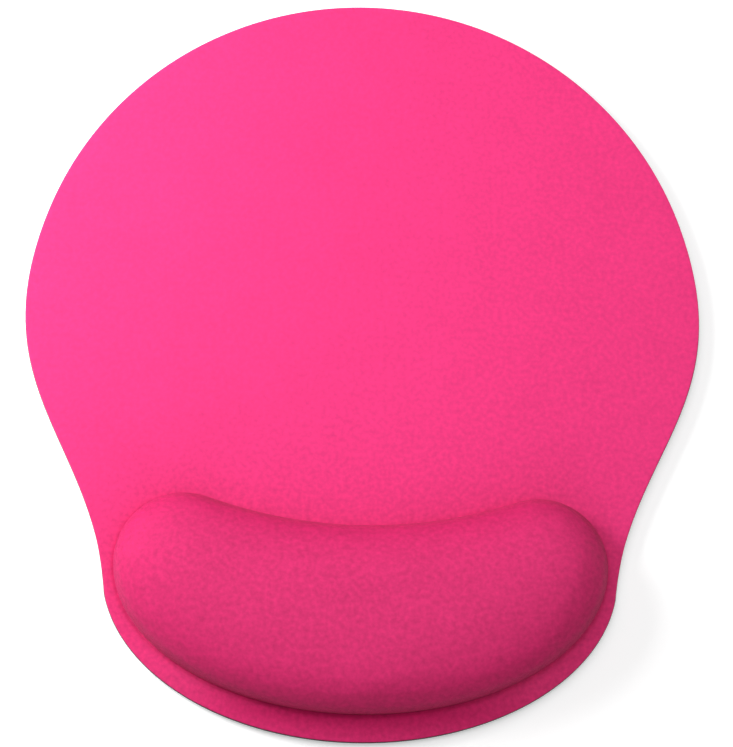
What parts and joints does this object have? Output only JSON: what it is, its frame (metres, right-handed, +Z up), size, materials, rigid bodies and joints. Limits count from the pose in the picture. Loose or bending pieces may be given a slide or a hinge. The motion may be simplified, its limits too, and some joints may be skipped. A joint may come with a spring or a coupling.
{
  "type": "wrist rest",
  "caption": "Cloth-covered mouse mat with a round mousing area, a narrow neck and a raised soft wrist cushion at the front.",
  "frame": {"origin": "on the desk, under the middle of the mat's bounding box", "axes": "+Y from the wrist cushion at the front to the round mousing area at the back, +X to the right of the person using it, +Z up"},
  "size_m": [0.2062, 0.23, 0.02],
  "materials": {
    "cover_cloth": "fine matt stretch knit, bright pink",
    "cushion_foam": "soft open-cell foam, cream",
    "mat_foam": "closed-cell foam sheet, dark grey, matt cut edge",
    "bond_film": "milky hot-melt bonding film",
    "grip_sheet": "black non-slip sheet with a fine raised grip pattern"
  },
  "bodies": {
    "root": {"cover_cloth": "cover_cloth", "cover_bond_film": "bond_film", "wrist_cushion": "cushion_foam", "cushion_bond_film": "bond_film", "mat_foam": "mat_foam", "base_bond_film": "bond_film", "nonslip_base": "grip_sheet"}
  },
  "joints": []
}
